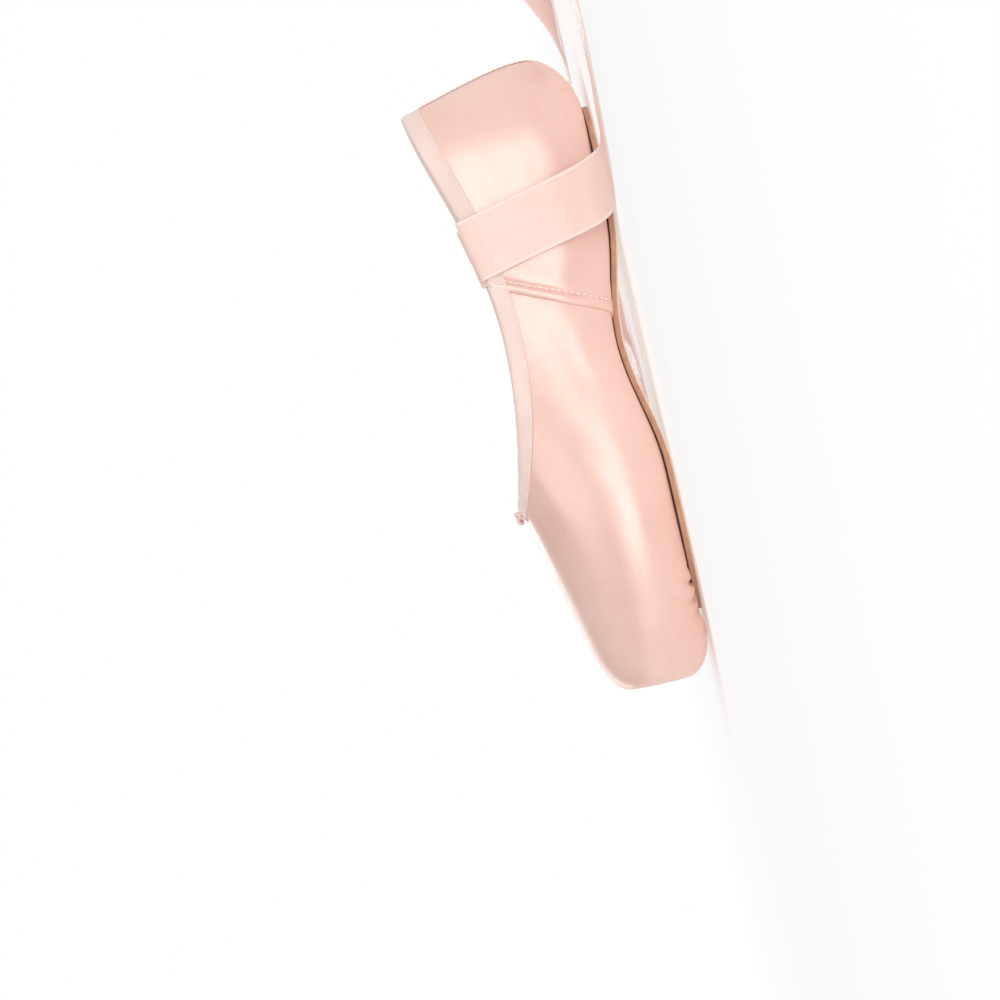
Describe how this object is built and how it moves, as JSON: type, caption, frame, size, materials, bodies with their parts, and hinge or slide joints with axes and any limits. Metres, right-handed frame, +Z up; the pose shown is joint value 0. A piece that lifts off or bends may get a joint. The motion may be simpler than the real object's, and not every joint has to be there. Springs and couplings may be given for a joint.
{
  "type": "pointe shoe",
  "caption": "Pink satin ballet pointe shoe with hollow boxed upper, leather outsole, bound collar and two ankle ribbons lying loose.",
  "frame": {"origin": "on the floor, under the middle of the shoe without its ribbons", "axes": "+X towards the toe, +Y to the wearer's left, +Z up"},
  "size_m": [0.2948, 0.2802, 0.0646],
  "materials": {
    "satin": "peach pink satin",
    "binding_tape": "folded satin tape",
    "ribbon_satin": "glossy satin ribbon",
    "sole_leather": "suede face with a tan cut edge",
    "lining": "plain cotton"
  },
  "bodies": {
    "root": {"upper": "satin", "outsole": "sole_leather", "insole": "lining", "binding": "binding_tape", "drawstring_knot": "binding_tape", "ribbon_left": "ribbon_satin", "ribbon_right": "ribbon_satin"}
  },
  "joints": []
}
